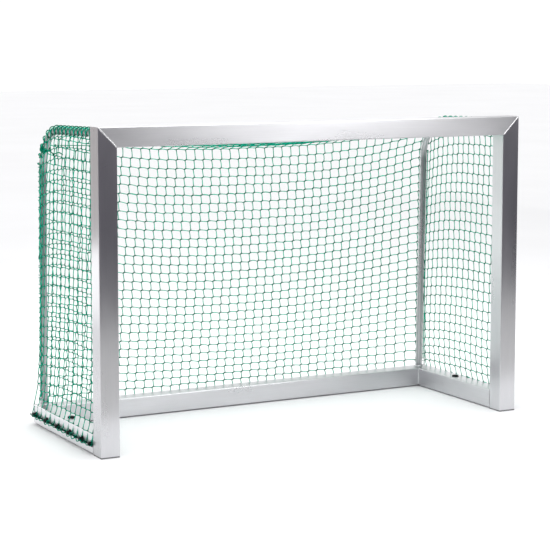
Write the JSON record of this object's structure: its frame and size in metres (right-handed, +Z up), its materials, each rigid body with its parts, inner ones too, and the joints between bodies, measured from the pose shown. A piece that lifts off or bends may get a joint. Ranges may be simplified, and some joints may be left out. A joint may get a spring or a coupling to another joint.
{
  "type": "soccer goal frame",
  "caption": "Free-standing small soccer goal: welded square-tube aluminium frame with round net brackets, hooks, edge cords and a draped square-mesh net.",
  "frame": {"origin": "on the floor at the middle of the object's box", "axes": "+X along the crossbar to the right as seen from the front, +Y from the goal mouth to the back net, +Z up"},
  "size_m": [1.9942, 0.7521, 1.29],
  "materials": {
    "aluminium": "brushed extruded profile, satin",
    "grey_plastic": "moulded, matte",
    "black_plastic": "moulded, satin",
    "net": "knotless braided polypropylene twine",
    "cord": "braided cord"
  },
  "bodies": {
    "goal_frame": {"left_post": "aluminium", "right_post": "aluminium", "crossbar": "aluminium", "left_ground_bar": "aluminium", "right_ground_bar": "aluminium", "rear_ground_bar": "aluminium", "left_net_bracket": "aluminium", "right_net_bracket": "aluminium", "left_post_end_cap": "grey_plastic", "right_post_end_cap": "grey_plastic", "left_rear_foot_pad": "grey_plastic", "right_rear_foot_pad": "grey_plastic", "left_ground_hook_1": "black_plastic", "left_ground_hook_2": "black_plastic", "left_ground_hook_3": "black_plastic", "left_ground_hook_4": "black_plastic", "left_ground_hook_5": "black_plastic", "left_ground_hook_6": "black_plastic", "right_ground_hook_1": "black_plastic", "right_ground_hook_2": "black_plastic", "right_ground_hook_3": "black_plastic", "right_ground_hook_4": "black_plastic", "right_ground_hook_5": "black_plastic", "right_ground_hook_6": "black_plastic", "rear_ground_hook_1": "black_plastic", "rear_ground_hook_2": "black_plastic", "rear_ground_hook_3": "black_plastic", "rear_ground_hook_4": "black_plastic", "rear_ground_hook_5": "black_plastic", "rear_ground_hook_6": "black_plastic", "rear_ground_hook_7": "black_plastic", "rear_ground_hook_8": "black_plastic", "rear_ground_hook_9": "black_plastic", "rear_ground_hook_10": "black_plastic", "crossbar_hook_1": "black_plastic", "crossbar_hook_2": "black_plastic", "crossbar_hook_3": "black_plastic", "crossbar_hook_4": "black_plastic", "crossbar_hook_5": "black_plastic", "crossbar_hook_6": "black_plastic", "crossbar_hook_7": "black_plastic", "left_post_hook_1": "black_plastic", "left_post_hook_2": "black_plastic", "left_post_hook_3": "black_plastic", "left_post_hook_4": "black_plastic", "right_post_hook_1": "black_plastic", "right_post_hook_2": "black_plastic", "right_post_hook_3": "black_plastic", "right_post_hook_4": "black_plastic", "back_net": "net", "roof_net": "net", "left_side_net": "net", "right_side_net": "net", "ground_border_cord": "cord", "front_edge_cord": "cord", "left_net_tie_cord": "cord", "right_net_tie_cord": "cord"},
    "left_anchor_plug": {"left_ground_anchor_plug": "black_plastic"},
    "right_anchor_plug": {"right_ground_anchor_plug": "black_plastic"}
  },
  "joints": [
    {"name": "left_anchor_plug_pull", "type": "slide", "parent": "goal_frame", "child": "left_anchor_plug", "axis": [0, 0, 1], "range_m": [0, 0.03]},
    {"name": "right_anchor_plug_pull", "type": "slide", "parent": "goal_frame", "child": "right_anchor_plug", "axis": [0, 0, 1], "range_m": [0, 0.03]}
  ]
}
